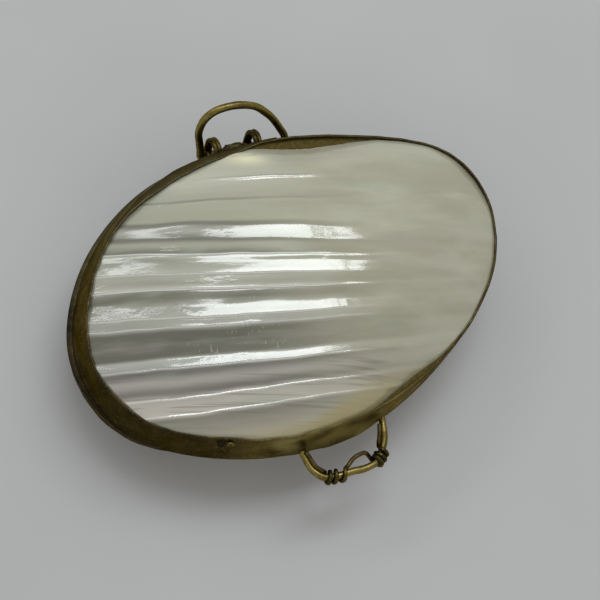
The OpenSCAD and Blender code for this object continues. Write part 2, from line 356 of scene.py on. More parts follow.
def margin_share(edge, shares):
    """How brown the shell is at each point of its outside: it has a margin at the front right."""
    k, n = np.arange(len(edge)), len(edge)
    reach = 1.4 + 3.0 * around(k, n, 0.745, 0.055) + 1.0 * around(k, n, 0.69, 0.06)
    inset = (1 - shares[:, None]) * np.linalg.norm(edge[:, :2] - CROWN, axis=1)
    share = (1 - smooth(inset, 0.35 * reach, 1.1 * reach)) * around(k, n, 0.725, 0.11)
    return np.append(share.ravel(), 0.0)


def shell_piece(name, lid, count, rings, material):
    """A valve of shell: ribbed outside, smooth inside, with a rounded rim."""
    valve = Valve(lid, count)
    inward, drop = lid_edge(valve) if lid else (np.zeros(count), np.zeros(count))
    edge = valve.ring(-0.45 - inward, EDGE_W - 0.06 - drop)
    inner = valve.ring(-0.5 - SHELL_T - 0.35 * inward, EDGE_W - SHELL_T)
    rim = [
        inner, valve.ring(-0.42 - 0.6 * inward, EDGE_W - SHELL_T),
        valve.ring(-0.38 - 0.9 * inward, EDGE_W - 0.5 - drop),
    ]
    top = EDGE_W + DOME_RISE
    shares = (np.sin(np.linspace(0, 1, rings + 1)[1:] * np.pi / 2) ** 0.9)[::-1]
    outer = np.vstack([dome_rows(edge, shares, top), (*CROWN, top)])
    xy = outer[:, :2] if lid else (outer[:, :2] - CROWN) * (1, -1) + CROWN
    relief, rib = shell_relief(*xy.T, 0 if lid else 1)
    outer[:, 2] += relief
    inner_top = top - SHELL_T - 0.2
    inner_shares = np.sin(np.arange(1, INNER_RINGS + 1) / (INNER_RINGS + 1) * np.pi / 2)
    lining = dome_rows(inner, inner_shares, inner_top)
    verts = valve.to_frame(np.vstack([(*CROWN, inner_top), lining, *rim, outer]))
    faces = ball_faces(count, INNER_RINGS + len(rim) + rings)
    if lid:
        faces = [f[::-1] for f in faces]
    else:
        verts[:, 2] = np.maximum(verts[:, 2], 0.0)
    piece = add_mesh(name, verts, faces, material, "lid" if lid else "base", "pearl", [name])
    none = np.zeros(len(verts) - len(outer))
    mark(piece, "rib", np.concatenate([none + 12.0, rib]))
    mark(piece, "outside", np.concatenate([none, np.ones(len(outer))]))
    mark(piece, "margin", np.concatenate([none, margin_share(edge, shares)]))
    mark(piece, "cream", np.concatenate([none, cream_lump(*xy.T) * (1 if lid else 0)]))


# ---- brass bands ----


# Heights above the seam of the rings of a band's outer wall
WALL_HEIGHTS = [0.35, 0.6, 1.0, 1.5, 2.0, 2.5, 3.0, 3.5, 4.0, 4.4, 4.75]
# Rings round a band's free edge: how far in, share of the curl, and how far down
FREE_EDGE = [(0.02, 0, 0.22), (0.06, 1, 0.05), (0.18, 1, 0), (0.30, 1, 0.06), (0.36, 0.6, 0.3)]
# Small dents in the lid's band: how far out, share of the way round, half width, height, half height
LID_DENTS = [
    (0.22, 0.683, 0.018, 4.0, 1.6), (-0.22, 0.667, 0.012, 3.4, 1.6),
    (0.15, 0.700, 0.020, 3.0, 1.4), (-0.18, 0.640, 0.012, 4.4, 0.9),
]


def band_dent(seam, w, lid, seed):
    """How far out the wall of a band lies at the height w; seam is the outline at its foot."""
    q = seam + (0, 0, w)
    out = -0.12 - 0.16 * wobble(q, (6.5, 6.5, 3.2), seed) - 0.08 * wobble(q, (2.3, 2.3, 1.6), seed + 1)
    if lid:
        k, n = np.arange(len(seam)), len(seam)
        for depth, place, half, height, reach in LID_DENTS:
            out += depth * around(k, n, place, half) * bump_at(w, height, reach)
        out += 0.75 * around(k, n, 0.722, 0.06) * (1 - smooth(w, 0.8, 4.2))
        out += 0.45 * around(k, n, 0.705, 0.07) * wobble(q, (3.4, 3.4, 2.4), seed + 2)
    return np.clip(out, -0.45, 0.7)


def band_wear_and_highlight(seam, rows, lid, seed):
    """How rubbed each point of a band is: a little along its free edge, most at the lid's front, where the
    lighter patches are also painted highlight.
    """
    k, n = np.arange(len(seam)), len(seam)
    edge = len(WALL_HEIGHTS) + 2
    worn_and_lit = np.zeros((rows, n))
    worn_and_lit[edge : edge + 3] = 0.15 * (0.5 + 0.5 * wobble(seam, (5, 5, 1), seed))
    if lid:
        # the lighter patches at the lid's front are rubbed brass and painted highlight together
        for j in range(2, edge + 3):
            lit = 0.55 + 1.3 * wobble(seam + (0, 0, 0.45 * j), (3.0, 3.0, 1.7), seed + 1)
            lit = around(k, n, 0.71, 0.09) * lit + 0.3 * around(k, n, 0.77, 0.04)
            lit += 1.1 * around(k, n, 0.681, 0.013) * bump_at(j, 11, 5)
            worn_and_lit[j] = np.clip(np.maximum(worn_and_lit[j], lit), 0, 1.4)
    return worn_and_lit.ravel()


def band_piece(name, lid, material, body):
    """A thin sheet band: a dented wall that leans in, a curled free edge and a flat ledge at the seam."""
    valve = Valve(lid, BAND_STATIONS)
    ledge, seed = (LID_LEDGE, 31) if lid else (BASE_LEDGE, 41)
    seam = valve.ring(0, 0)
    ragged = 0.12 * wobble(seam, (4.5, 4.5, 1), seed + 5) + 0.05 * wobble(seam, (1.6, 1.6, 1), seed + 6)
    top = BAND_H + 0.9 * valve.wave() + ragged
    rows = [valve.ring(-0.16, 0.09), valve.ring(-0.03, 0.17)]
    for w in WALL_HEIGHTS:
        rows.append(valve.ring(band_dent(seam, w, lid, seed) * smooth(w, 0.2, 1.0), w / BAND_H * top))
    curl = 0.10 + 0.05 * wobble(seam, (2.2, 2.2, 1), seed + 3)
    if lid:
        k, n = np.arange(valve.count), valve.count
        curl += 1.05 * around(k, n, 0.315, 0.08) + 0.5 * around(k, n, 0.262, 0.03)
    face = band_dent(seam, 4.9, lid, seed)
    for inset, share, down in FREE_EDGE:
        rows.append(valve.ring(face - inset - curl * share, top - down))
    for w in (4.2, 3.0, 1.8, 0.9):
        rows.append(valve.ring(band_dent(seam, w, lid, seed) - 0.34, w / BAND_H * top))
    rows += [valve.ring(-0.38, 0.46), valve.ring(-ledge, 0.46), valve.ring(-ledge, 0.1)]
    faces = hoop_faces(valve.count, len(rows))
    if not lid:
        faces = [f[::-1] for f in faces]
    piece = add_mesh(name, valve.to_frame(np.concatenate(rows)), faces, material, body, "band_brass", [name])
    mark(piece, "wear_and_highlight", band_wear_and_highlight(seam, len(rows), lid, seed + 8))


def cement_line(material):
    """Rough bead of cement between the lid's band and its shell, where it shows."""
    valve = Valve(True, 320)
    k, n = np.arange(valve.count), valve.count
    inward, drop = lid_edge(valve)
    seam = valve.ring(0, 0)
    rough = wobble(seam, (1.3, 1.3, 1), 51)
    fine = wobble(seam, (0.5, 0.5, 1), 52)
    foot = EDGE_W - 1.0 - drop
    high = EDGE_W - 0.42 + 0.32 * around(k, n, 0.435, 0.03) - 0.9 * drop + 0.12 * rough + 0.08 * fine
    rows = [
        valve.ring(-0.36, foot),
        valve.ring(-0.37, high),
        valve.ring(-0.44 - 0.2 * inward, high + 0.05),
        valve.ring(-0.55 - 0.7 * inward, high - 0.02 + 0.05 * fine),
        valve.ring(-0.62 - inward, high - 0.2),
        valve.ring(-0.62 - inward, foot),
    ]
    verts = valve.to_frame(np.concatenate(rows))
    add_mesh("cement_line", verts, hoop_faces(valve.count, len(rows)), material, "lid", "cement")


# ---- wires ----

# The bail's arch: place along the pin and distance out from it, which ARCH_SCALE makes a little less
ARCH = [
    (-6.6, 0), (-7.05, 0.55), (-7.1, 2.2), (-7.3, 4.3), (-7.4, 6.4), (-6.75, 8.7), (-5.1, 10.2),
    (-2.9, 10.75), (-0.5, 10.6), (2.1, 9.6), (4.1, 7.6), (5.7, 5.3), (7, 3), (7.75, 1.2), (7.6, 0.3),
    (6.9, 0),
]
ARCH_SCALE = 0.945
ARCH_LEAN = math.radians(22)
# Half of a hinge eye seen from the side: place back and up from the pin
EYE_LEG = [(1.04, 0.15), (1.19, 1.6), (1.3, 3.2), (0.85, 4.7), (-0.25, 5.75), (-1.4, 5.85), (-2.1, 5.5)]
EYE_SPREAD = [0.34, 0.33, 0.32, 0.31, 0.31, 0.31, 0.31]


def bail_piece(material):
    """The arch of thick wire and, in one with it, the straight hinge pin."""
    back, up = ARCH_SCALE * math.sin(ARCH_LEAN), ARCH_SCALE * math.cos(ARCH_LEAN)
    path = smooth_path([(x, PIN_Y + v * back, PIN_Z + v * up) for x, v in ARCH], 10)
    k = np.arange(len(path))
    inside = np.clip(np.minimum(k, k[::-1]) / 12, 0, 1)
    path[:, 0] += 0.16 * wobble(path, (3.5, 3.5, 3.5), 61) * inside
    radius = BAIL_R + 0.10 * inside + 0.03 * wobble(path, (1.7, 1.7, 1.7), 62)
    pin = [(x, PIN_Y, PIN_Z) for x in np.linspace(-6.6, 7.2, 60)]
    verts, faces = join([sweep(path, radius, 20), sweep(pin, BAIL_R - 0.01, 20)])
    add_mesh("bail_wire", verts, faces, material, "bail", "wire_brass", ["bail_wire"])


def eye_piece(name, x, material, seed):
    """A hairpin of wire hooked round the pin, its two strands side by side up to the lid's band."""
    parts = []
    turn = np.linspace(0, 2 * math.pi, 40)
    for s in (-1, 1):
        path = smooth_path([(x + s * w, PIN_Y + y, PIN_Z + z) for (y, z), w in zip(EYE_LEG, EYE_SPREAD)], 9)
        path[:, 0] += 0.05 * wobble(path, (1.5, 1.5, 1.5), seed + s)
        parts.append(sweep(path, EYE_WIRE_R - 0.02 + 0.03 * wobble(path, (0.9, 0.9, 0.9), seed), 16))
        ring = np.column_stack([turn * 0 + s * 0.36, EYE_RING_R * np.cos(turn), -EYE_RING_R * np.sin(turn)])
        parts.append(sweep(ring + (x, PIN_Y, PIN_Z), EYE_WIRE_R - 0.04, 16))
    add_mesh(name, *join(parts), material, "lid", "wire_brass", [name])


def blob(centre, size, seed, rings, sides, rough):
    """A lump of solder or dirt: points and faces."""
    turn = np.arange(sides) * 2 * math.pi / sides
    rows = []
    for a in np.arange(1, rings) * math.pi / rings:
        wide = math.sin(a)
        rows.append(np.column_stack([wide * np.cos(turn), wide * np.sin(turn), np.full(sides, math.cos(a))]))
    p = np.vstack([(0, 0, 1), *rows, (0, 0, -1)])
    bumps = wobble(p + seed, (0.6, 0.6, 0.6), seed) + 0.4 * wobble(p + seed, (0.22, 0.22, 0.22), seed)
    verts = np.array(centre) + p * (1 + rough * bumps[:, None]) * np.array(size)
    return verts, ball_faces(sides, rings - 1)


# The thumb loop, seen from above
STIRRUP = [
    (-8.0, -24.9), (-7.8, -26.2), (-7.25, -28.3), (-5.9, -29.75), (-3.5, -30.15), (-1.2, -30.05),
    (1.0, -30.15), (3.0, -29.6), (4.45, -27.9), (5.3, -26.0), (5.9, -23.2),
]


def stirrup_at(t):
    """A place on the thumb loop, t counted in the spans of its points."""
    points = np.array([(x, y, LOOP_Z) for x, y in STIRRUP])
    ends = np.vstack([2 * points[0] - points[1], points, 2 * points[-1] - points[-2]])
    i = min(int(t), len(points) - 2)
    return spline(*ends[i : i + 4], t - i)


def thumb_loop_piece(material):
    """The stirrup of thick wire at the front of the lid's band."""
    path = smooth_path([(x, y, LOOP_Z) for x, y in STIRRUP], 14)
    path[:, 2] += 0.12 * wobble(path, (4, 4, 4), 71)
    path[:, 1] = np.maximum(path[:, 1] + 0.15 * wobble(path, (2.6, 2.6, 2.6), 72), LOOP_FRONT)
    radius = LOOP_R + 0.03 * wobble(path, (1.3, 1.3, 1.3), 73)
    add_mesh("thumb_loop", *sweep(path, radius, 20), material, "lid", "wire_brass", ["thumb_loop"])


# The binding: place along the thumb loop, degrees turned round its wire, and distance from its centre
WINDS = [
    (0.5, 110, 0.83), (2.2, 140, 0.83), (3.0, 200, 0.84), (3.35, 480, 0.84), (3.75, 860, 0.86),
    (4.3, 1180, 0.88), (4.75, 1250, 1.0), (5.3, 1245, 2.0), (6.0, 1240, 2.3), (6.5, 1255, 1.7),
    (6.8, 1330, 0.88), (7.1, 1640, 0.86), (7.4, 1960, 0.86), (7.7, 2250, 0.86), (8.2, 2330, 0.84),
    (9.5, 2310, 0.84),
]


def binding_piece(material):
    """Thin wire laid along the legs, wound round both corners and arched over the crossbar."""
    path = []
    for t, turned, r in smooth_path(WINDS, 12):
        ahead = stirrup_at(min(t + 0.05, 9.99)) - stirrup_at(t - 0.05)
        out = np.cross(ahead / np.linalg.norm(ahead), (0, 0, 1))
        angle = math.radians(turned)
        path.append(stirrup_at(t) + r * (math.cos(angle) * out + math.sin(angle) * np.array([0, 0, 1.0])))
    path = smooth_path(path, 3)
    path[:, 1] = np.maximum(path[:, 1], BIND_FRONT)
    radius = BIND_R + 0.02 * wobble(path, (0.8, 0.8, 0.8), 81)
    add_mesh("binding_wire", *sweep(path, radius, 12), material, "lid", "wire_brass", ["binding_wire"])


def pin_axes():
    """Where the pin goes through the lid's band, and its directions along, up and out of the band."""
    valve = Valve(True, 768)
    at = int(valve.count * PIN_STATION)
    x, y = valve.normal[at]
    out = np.array([x, y, 0.25])
    out /= np.linalg.norm(out)
    ahead = np.array([-y, x, 0])
    up = np.cross(out, ahead)
    if up[2] < 0:
        up = -up
    return valve.to_frame(valve.ring(-0.1, 4.75))[at], ahead, up, out


def lid_pin_piece(material):
    """The pin and the curled tag of metal at its head."""
    centre, ahead, up, out = pin_axes()
    head = centre + ahead * 0.95
    turn = np.linspace(0, 1.55 * math.pi, 22)
    curl = [head + ahead * 0.42 * math.cos(a) + up * 0.36 * math.sin(a) + out * 0.12 for a in turn]
    pin = [head - out * s for s in (0.7, 0.4, 0.1)]
    verts, faces = join([sweep(curl, np.linspace(0.26, 0.14, 22), 10), sweep(pin, 0.22, 12)])
    add_mesh("lid_pin", verts, faces, material, "lid", "wire_brass", ["lid_pin"])


def pin_hole_piece(material):
    """The dark hole beside the pin's head: a blob painted near black as painted shade for the inside of the
    hole.
    """
    centre, ahead, up, out = pin_axes()
    hole = blob(centre - ahead * 0.35 + out * 0.02 - up * 0.1, (0.68, 0.52, 0.45), 5, 12, 18, 0.15)
    add_mesh("pin_hole", *hole, material, "lid", "band_brass")


def solder_hump_piece(material):
    """The lump of solder on the lid's band, between the hinge eyes."""
    hump = blob((-3.4, 24.0, 13.8), (2.1, 0.85, 1.45), 4, 16, 26, 0.3)
    add_mesh("solder_hump", *hump, material, "lid", "wire_brass")


# ---- materials ----


class Nodes:
    """A material with short calls for its nodes; most take and give sockets."""

    def __init__(self, name):
        self.material = bpy.data.materials.new(name)
        self.material.use_nodes = True
        self.tree = self.material.node_tree
        self.tree.nodes.clear()
        self.shader = self.tree.nodes.new("ShaderNodeBsdfPrincipled")
        end = self.tree.nodes.new("ShaderNodeOutputMaterial")
        self.link(self.shader.outputs[0], end.inputs[0])
        self.place = self.tree.nodes.new("ShaderNodeTexCoord").outputs["Object"]

    def link(self, a, b):
        self.tree.links.new(a, b)

    def node(self, kind, **settings):
        """A new node with its properties set."""
        made = self.tree.nodes.new(kind)
        for key, value in settings.items():
            setattr(made, key, value)
        return made

    def mapped(self, scale, turn=0.0, shift=(0, 0, 0)):
        """Object coordinates in units of the given sizes in millimetres, turned about Z first."""
        spin = self.node("ShaderNodeMapping")
        spin.inputs["Rotation"].default_value = (0, 0, math.radians(turn))
        self.link(self.place, spin.inputs["Vector"])
        size = self.node("ShaderNodeMapping")
        size.inputs["Scale"].default_value = [1 / (s * MM) for s in scale]
        size.inputs["Location"].default_value = shift
        self.link(spin.outputs[0], size.inputs["Vector"])
        return size.outputs[0]

    def noise(self, scale, detail=3.0, turn=0.0, shift=(0, 0, 0), rough=0.55, warp=0.0):
        """Noise whose features have the given sizes in millimetres."""
        made = self.node("ShaderNodeTexNoise")
        made.inputs["Scale"].default_value = 1.0
        made.inputs["Detail"].default_value = detail
        made.inputs["Roughness"].default_value = rough
        made.inputs["Distortion"].default_value = warp
        self.link(self.mapped(scale, turn, shift), made.inputs["Vector"])
        return made.outputs["Fac"]

    def attribute(self, name):
        """The numbers that mark gave a piece."""
        return self.node("ShaderNodeAttribute", attribute_name=name).outputs["Fac"]

    def ramp(self, value, low, high, a=0.0, b=1.0):
        """value from low to high becomes a to b."""
        made = self.node("ShaderNodeMapRange", interpolation_type="SMOOTHSTEP")
        for key, number in (("From Min", low), ("From Max", high), ("To Min", a), ("To Max", b)):
            made.inputs[key].default_value = number
        self.link(value, made.inputs["Value"])
        return made.outputs[0]

    def spread(self, value, low, high):
        """value from low to high becomes 0 to 1, evenly."""
        made = self.node("ShaderNodeMapRange")
        made.inputs["From Min"].default_value = low
        made.inputs["From Max"].default_value = high
        self.link(value, made.inputs["Value"])
        return made.outputs[0]

    def math(self, kind, a, b):
        made = self.node("ShaderNodeMath", operation=kind)
        for value, socket in ((a, made.inputs[0]), (b, made.inputs[1])):
            if isinstance(value, (int, float)):
                socket.default_value = value
            else:
                self.link(value, socket)
        return made.outputs[0]

    def mix(self, share, a, b, blend="MIX"):
        """Colour a with a share of colour b over it."""
        made = self.node("ShaderNodeMix", data_type="RGBA", blend_type=blend)
        for value, socket in ((share, made.inputs[0]), (a, made.inputs[6]), (b, made.inputs[7])):
            if isinstance(value, (int, float)):
                socket.default_value = value
            elif isinstance(value, tuple):
                socket.default_value = (*value, 1.0)
            else:
                self.link(value, socket)
        return made.outputs[2]

    def bump(self, height, strength, distance, under=None):
        """A normal from a height, where height 1 is the given distance in millimetres."""
        made = self.node("ShaderNodeBump")
        made.inputs["Strength"].default_value = strength
        made.inputs["Distance"].default_value = distance * MM
        self.link(height, made.inputs["Height"])
        if under is not None:
            self.link(under, made.inputs["Normal"])
        return made.outputs[0]

    def lines(self, value, spikes, half=0.19):
        """Spikes at the given values: each is a place, a strength and perhaps its own half width."""
        low, high = spikes[0][0] - 1, spikes[-1][0] + 1
        made = self.node("ShaderNodeValToRGB")
        made.color_ramp.interpolation = "EASE"
        for place, strength, *wide in spikes:
            reach = wide[0] if wide else half
            for at, level in ((place - reach, 0.0), (place, strength), (place + reach, 0.0)):
                made.color_ramp.elements.new((at - low) / (high - low)).color = (level, level, level, 1)
        made.color_ramp.elements[0].color = (0, 0, 0, 1)
        made.color_ramp.elements[-1].color = (0, 0, 0, 1)
        self.link(self.spread(value, low, high), made.inputs["Fac"])
        return made.outputs[0]

    def tones(self, value, stops):
        """Colours at the given values, blended between them."""
        low, high = stops[0][0], stops[-1][0]
        made = self.node("ShaderNodeValToRGB")
        made.color_ramp.interpolation = "EASE"
        for at, tone in stops[1:-1]:
            made.color_ramp.elements.new((at - low) / (high - low)).color = (*tone, 1)
        made.color_ramp.elements[0].color = (*stops[0][1], 1)
        made.color_ramp.elements[-1].color = (*stops[-1][1], 1)
        self.link(self.spread(value, low, high), made.inputs["Fac"])
        return made.outputs[0]

    def set(self, **values):
        """Numbers, colours or links for the shader's sockets; an underscore stands for a space."""
        for key, value in values.items():
            socket = self.shader.inputs[key.replace("_", " ")]
            if isinstance(value, (int, float)):
                socket.default_value = value
            elif isinstance(value, tuple):
                socket.default_value = (*value, 1.0)
            else:
                self.link(value, socket)
        return self.material

    def axis(self, which):
        """Millimetres along X, Y or Z, which are 0, 1 and 2."""
        split = self.node("ShaderNodeSeparateXYZ")
        self.link(self.place, split.inputs[0])
        return self.math("MULTIPLY", split.outputs[which], 1 / MM)


# Degrees by which a streak's long way is turned from X to run along the ribs
RIB_TURN = 13.0
# Base colour of the shell across its ribs: its own grey and cream bands, with painted dark reflections and
# painted shade below ridges in the dark stops, and painted highlights in the pale stops on crests
RIB_TONES_AND_PAINTED_LIGHT = [
    (-24, (0.60, 0.56, 0.45)), (-19.9, (0.28, 0.26, 0.225)), (-19.3, (0.65, 0.605, 0.575)),
    (-17.3, (0.61, 0.57, 0.545)), (-16.6, (0.20, 0.19, 0.17)), (-15.4, (0.46, 0.43, 0.42)),
    (-14.2, (0.14, 0.132, 0.125)), (-13.6, (0.35, 0.35, 0.33)), (-12.7, (0.45, 0.45, 0.43)),
    (-12.2, (0.145, 0.143, 0.115)), (-9.2, (0.125, 0.123, 0.092)), (-8.7, (0.34, 0.34, 0.31)),
    (-7.3, (0.42, 0.42, 0.38)), (-6.0, (0.36, 0.36, 0.32)), (-4.7, (0.16, 0.16, 0.12)),
    (-3.75, (0.20, 0.20, 0.16)), (-3.35, (0.55, 0.55, 0.50)), (-2.6, (0.40, 0.40, 0.34)),
    (-1.5, (0.48, 0.48, 0.43)), (0.5, (0.34, 0.34, 0.29)), (1.4, (0.46, 0.46, 0.40)),
    (1.9, (0.22, 0.22, 0.18)), (3.2, (0.43, 0.43, 0.36)), (4.2, (0.18, 0.18, 0.15)),
    (5.5, (0.40, 0.40, 0.35)), (6.9, (0.19, 0.19, 0.16)), (7.6, (0.46, 0.455, 0.37)),
    (11.3, (0.50, 0.495, 0.41)), (11.7, (0.27, 0.265, 0.22)), (12.2, (0.50, 0.495, 0.41)),
    (16, (0.66, 0.65, 0.57)),
]
# Fine raised lines along the ribs, also painted pale as painted highlights: place, strength and, for a wide
# one, half width
RIB_LINES_AND_HIGHLIGHTS = [
    (-19.4, 0.5), (-17.4, 0.6), (-13.9, 0.6), (-8.6, 0.9), (-7.3, 0.9),
    (-3.55, 1.0), (-1.45, 0.8), (1.6, 1.0), (16.0, 1.0, 0.34),
]


def pearl_streaks(m, x, rib):
    """Colour along the ribs: grey bands at the left with painted reflections, shade and highlights in them,
    warm clouds at the right, dark streaks in front.
    """
    streak = m.noise((20, 1.3, 6), 4, RIB_TURN)
    # the rib tones hold painted dark reflections, painted shade and painted highlights
    colour = m.mix(m.ramp(streak, 0.42, 0.72, 0.0, 0.28), m.tones(rib, RIB_TONES_AND_PAINTED_LIGHT), (0.47, 0.46, 0.41))
    cloud = m.noise((15, 4.5, 9), 4, RIB_TURN, (7, 2, 0), 0.5, 0.25)
    warm = m.mix(m.ramp(cloud, 0.33, 0.67), (0.43, 0.41, 0.32), (0.545, 0.535, 0.445))
    colour = m.mix(m.math("MULTIPLY", m.ramp(x, -14, 9), 0.88), colour, warm)
    thin = m.ramp(m.noise((26, 0.55, 4), 2, RIB_TURN + 3, (6, 3, 1)), 0.52, 0.64, 0, 0.55)
    in_front = m.math("MULTIPLY", m.ramp(rib, -12.5, -15), m.ramp(x, 14, 4))
    colour = m.mix(m.math("MULTIPLY", thin, in_front), colour, (0.21, 0.205, 0.18))
    tint = m.noise((14, 3.2, 8), 2, RIB_TURN, (1, 9, 0))
    colour = m.mix(m.ramp(tint, 0.52, 0.72, 0, 0.13), colour, (0.52, 0.45, 0.47))
    return m.mix(m.ramp(tint, 0.46, 0.30, 0, 0.34), colour, (0.42, 0.48, 0.41))


def pearl_scratches(m, x, rib):
    """Share of short bright scratches, all of them within the broad dark band at the left."""
    scratch = m.ramp(m.noise((0.22, 1.5, 1), 3, RIB_TURN, (4, 0, 2)), 0.56, 0.68)
    patches = m.ramp(m.noise((3.4, 2.2, 3), 2, RIB_TURN, (0, 9, 2)), 0.54, 0.64)
    band = m.math("MULTIPLY", m.ramp(rib, -13.5, -12.0), m.ramp(rib, -4.2, -5.4))
    left = m.math("MULTIPLY", m.ramp(x, -4, -8), m.ramp(x, -25, -21))
    zone = m.math("MULTIPLY", m.math("MULTIPLY", band, patches), left)
    return m.math("MULTIPLY", m.math("MULTIPLY", scratch, zone), 0.6)


def pearl_inside(m):
    """Colour of the inside: pink and green sheen with pale growth lines."""
    sheen = m.noise((11, 6, 9), 3, 20, (5, 1, 3), 0.5, 1.2)
    colour = m.mix(m.ramp(sheen, 0.36, 0.50), (0.42, 0.56, 0.52), (0.62, 0.60, 0.54))
    colour = m.mix(m.ramp(sheen, 0.50, 0.64), colour, (0.66, 0.47, 0.52))
    growth = m.noise((18, 1.6, 9), 3, RIB_TURN, (1, 1, 3))
    return m.mix(m.ramp(growth, 0.4, 0.7, 0, 0.5), colour, (0.60, 0.58, 0.50))


def pearl_surface(m, x, fine):
    """Fine relief: long waves, pits, an etched patch at the left and the raised lines."""
    waves = m.bump(m.noise((12, 0.8, 4), 3, RIB_TURN, (2, 6, 0)), 0.15, 0.012)
    pits = m.bump(m.noise((2.0, 0.9, 1.6), 4, RIB_TURN, (0, 0, 4), 0.65), 0.6, 0.022, waves)
    scuffed = m.ramp(m.noise((7, 2.6, 6), 3, RIB_TURN, (3, 1, 7)), 0.5, 0.66)
    scuffed = m.math("MULTIPLY", scuffed, m.ramp(x, -6, -12))
    etched = m.math("MULTIPLY", m.noise((0.5, 0.32, 0.5), 3, 0, (0, 4, 4), 0.7), scuffed)
    return m.bump(fine, 1.0, 0.10, m.bump(etched, 0.8, 0.05, pits))


def pearl_material(name):
    """Mother-of-pearl: grey and cream bands along the ribs with painted reflections, shade and highlights,
    cloudy to the right, under a clear gloss.
    """
    m = Nodes(name)
    x = m.axis(0)
    rib = m.attribute("rib")
    fine = m.math("MULTIPLY", m.lines(rib, RIB_LINES_AND_HIGHLIGHTS), m.ramp(x, 9, -1))
    fine = m.math("MULTIPLY", fine, m.math("MAXIMUM", m.ramp(x, -13, -4), m.ramp(rib, 14.5, 13.5)))
    colour = pearl_streaks(m, x, rib)
    colour = m.mix(m.math("MULTIPLY", m.attribute("margin"), 0.9), colour, (0.44, 0.365, 0.17))
    # pale cream on the swelling at the back edge: partly its own colour, partly a painted highlight on the
    # bump
    colour = m.mix(m.attribute("cream"), colour, (0.97, 0.95, 0.70))
    colour = m.mix(1.0, colour, (0.99, 1.0, 0.93), "MULTIPLY")
    colour = m.mix(pearl_scratches(m, x, rib), colour, (0.72, 0.73, 0.70))
    # painted highlight: the fine raised lines are also painted pale along the crests
    colour = m.mix(m.math("MULTIPLY", fine, 0.8), colour, (0.88, 0.88, 0.83))
    colour = m.mix(m.attribute("outside"), pearl_inside(m), colour)
    rough = m.ramp(m.noise((10, 1.0, 5), 3, RIB_TURN, (5, 5, 0)), 0.3, 0.7, 0.25, 0.36)
    surface = pearl_surface(m, x, fine)
    return m.set(
        Base_Color=colour, Roughness=rough, Metallic=0.12, Normal=surface, Specular_IOR_Level=0.5,
        Coat_Weight=1.0, Coat_Roughness=0.095, Coat_IOR=1.8, Coat_Normal=surface,
    )


def band_patina_and_highlight(m, colour, bright):
    """A band's brass is bright where it is rubbed and where a highlight is painted at the lid's front, olive
    at the back and nearly black at the front left.
    """
    # rubbed brass and, at the lid's front, painted highlight
    colour = m.mix(m.math("MULTIPLY", m.attribute("wear_and_highlight"), 0.75), colour, bright)
    colour = m.mix(m.ramp(m.axis(1), 4, 16, 0, 0.65), colour, (0.078, 0.070, 0.032))
    corner = m.math("MULTIPLY", m.ramp(m.axis(0), -14, -27), m.ramp(m.axis(1), 2, -9, 0, 0.6))
    return m.mix(corner, colour, (0.026, 0.021, 0.011))


def brass_material(name, main, dark, bright, rough=0.42, green=0.35, band=False):
    """Old brass: brown patina in patches, bright grains, a little verdigris in the low spots."""
    m = Nodes(name)
    patch = m.noise((3.4, 3.4, 3.4), 5, 0, (0, 0, 0), 0.62, 0.4)
    grain = m.noise((0.45, 0.45, 0.45), 4, 0, (3, 2, 1), 0.6)
    colour = m.mix(m.ramp(patch, 0.36, 0.64), dark, main)
    colour = m.mix(m.ramp(grain, 0.5, 0.78, 0, 0.55), colour, bright)
    spots = m.noise((1.1, 1.1, 1.1), 4, 0, (9, 5, 2), 0.65)
    colour = m.mix(m.ramp(spots, 0.62, 0.74, 0, green), colour, (0.075, 0.085, 0.03))
    if band:
        colour = band_patina_and_highlight(m, colour, bright)
    roughness = m.ramp(m.noise((1.8, 1.8, 1.8), 4, 0, (4, 4, 4)), 0.3, 0.7, rough - 0.1, rough + 0.16)
    low = m.bump(m.noise((1.5, 1.5, 1.5), 3, 0, (1, 1, 8)), 0.5, 0.12)
    top = m.bump(m.noise((0.28, 0.28, 0.28), 4, 0, (6, 1, 8), 0.65), 0.45, 0.05, low)
    tint = (0.75, 0.64, 0.42)
    return m.set(Base_Color=colour, Metallic=1.0, Roughness=roughness, Normal=top, Specular_Tint=tint)


def cement_material():
    """Brown cement, with pink flecks where it shows at the left."""
    m = Nodes("old_cement")
    grain = m.noise((0.6, 0.6, 0.6), 5, 0, (1, 2, 3), 0.7)
    fleck = m.noise((0.9, 0.9, 0.9), 3, 0, (8, 2, 3))
    colour = m.mix(m.ramp(grain, 0.35, 0.65), (0.082, 0.061, 0.016), (0.130, 0.098, 0.027))
    left = m.math("MULTIPLY", m.ramp(m.axis(0), -30.0, -31.5), m.ramp(m.axis(1), -3, 0))
    colour = m.mix(m.math("MULTIPLY", m.ramp(fleck, 0.45, 0.6), left), colour, (0.40, 0.26, 0.21))
    return m.set(Base_Color=colour, Roughness=0.85, Specular_IOR_Level=0.1, Normal=m.bump(grain, 0.5, 0.12))


def hole_shade_material():
    """Near-black painted shade for the inside of the pin's hole."""
    m = Nodes("painted_hole_shade")
    colour = m.mix(m.noise((0.3, 0.3, 0.3), 3), (0.008, 0.006, 0.004), (0.03, 0.022, 0.014))
    return m.set(Base_Color=colour, Roughness=0.9, Specular_IOR_Level=0.05)


def floor_material():
    """A plain pale table top."""
    m = Nodes("pale_floor")
    soft = m.noise((90, 90, 90), 3)
    grain = m.noise((1.2, 1.2, 1.2), 3)
    colour = m.mix(m.ramp(soft, 0.3, 0.7), (0.56, 0.565, 0.575), (0.60, 0.605, 0.615))
    return m.set(Base_Color=colour, Roughness=0.85, Specular_IOR_Level=0.2, Normal=m.bump(grain, 0.15, 0.05))


# ---- build ----

